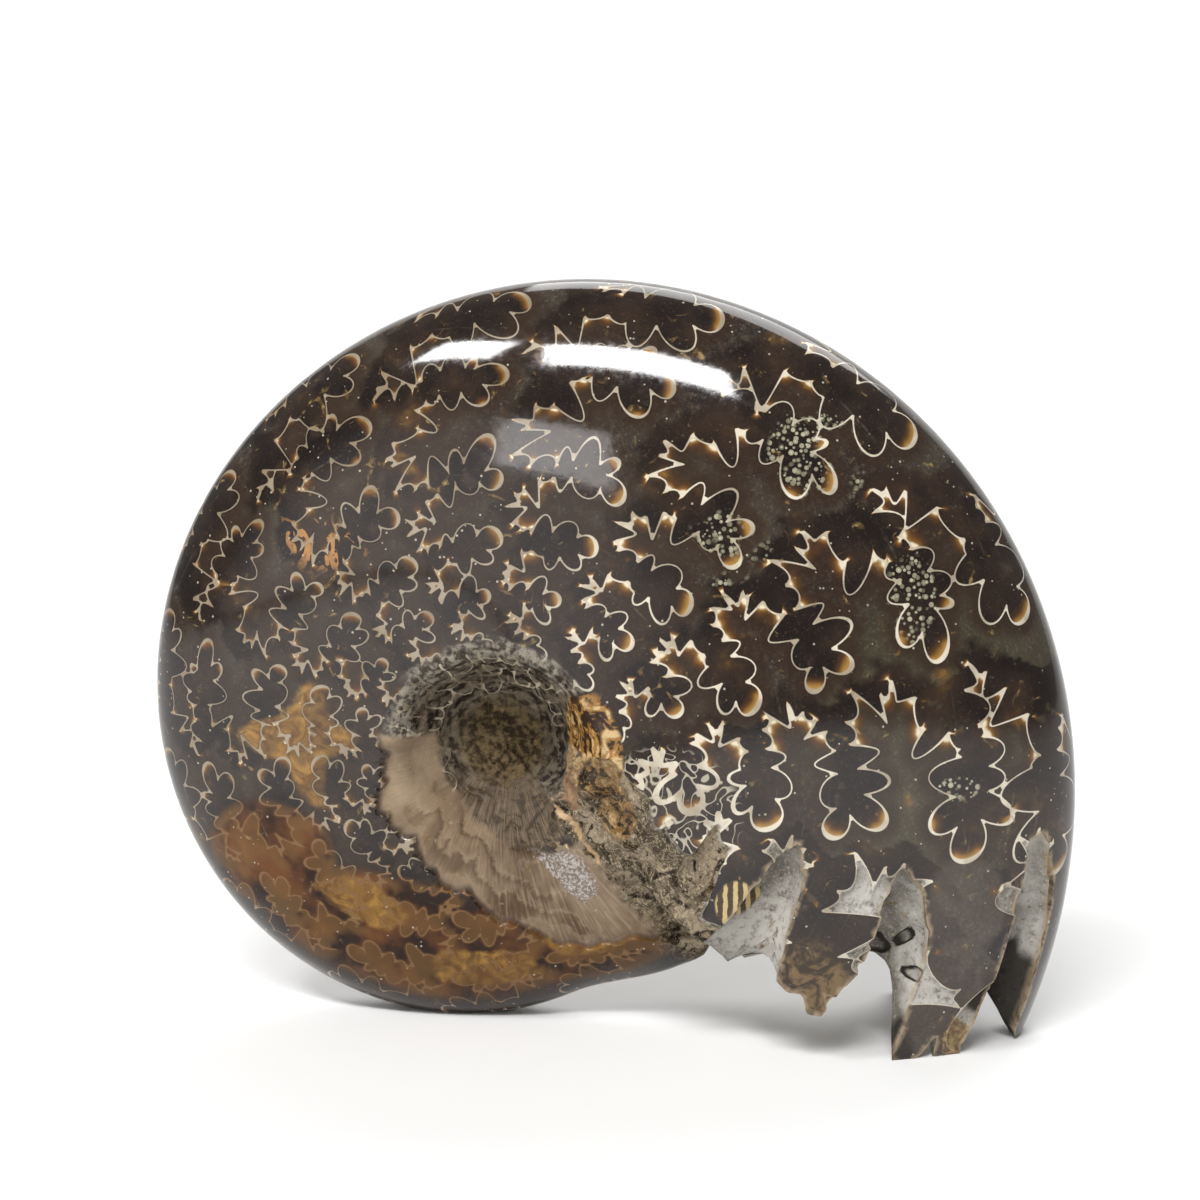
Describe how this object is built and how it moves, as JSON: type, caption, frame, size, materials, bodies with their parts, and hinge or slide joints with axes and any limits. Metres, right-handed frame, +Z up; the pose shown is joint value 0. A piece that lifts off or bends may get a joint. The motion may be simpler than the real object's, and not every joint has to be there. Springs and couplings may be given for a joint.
{
  "type": "cleoniceras ammonite fossil",
  "caption": "Polished ammonite fossil, a coiled disc with a sunken umbilicus and a broken, fingered chamber wall, standing on a small flat spot.",
  "frame": {"origin": "centre of the bounding box in plan, on the surface that the fossil stands on", "axes": "+X towards the broken end of the last whorl, +Y away from the flank with the bare inner shell, +Z up"},
  "size_m": [0.092, 0.0324, 0.0742],
  "materials": {
    "polished_fossil": "polished"
  },
  "bodies": {
    "root": {"ammonite": "polished_fossil"}
  },
  "joints": []
}
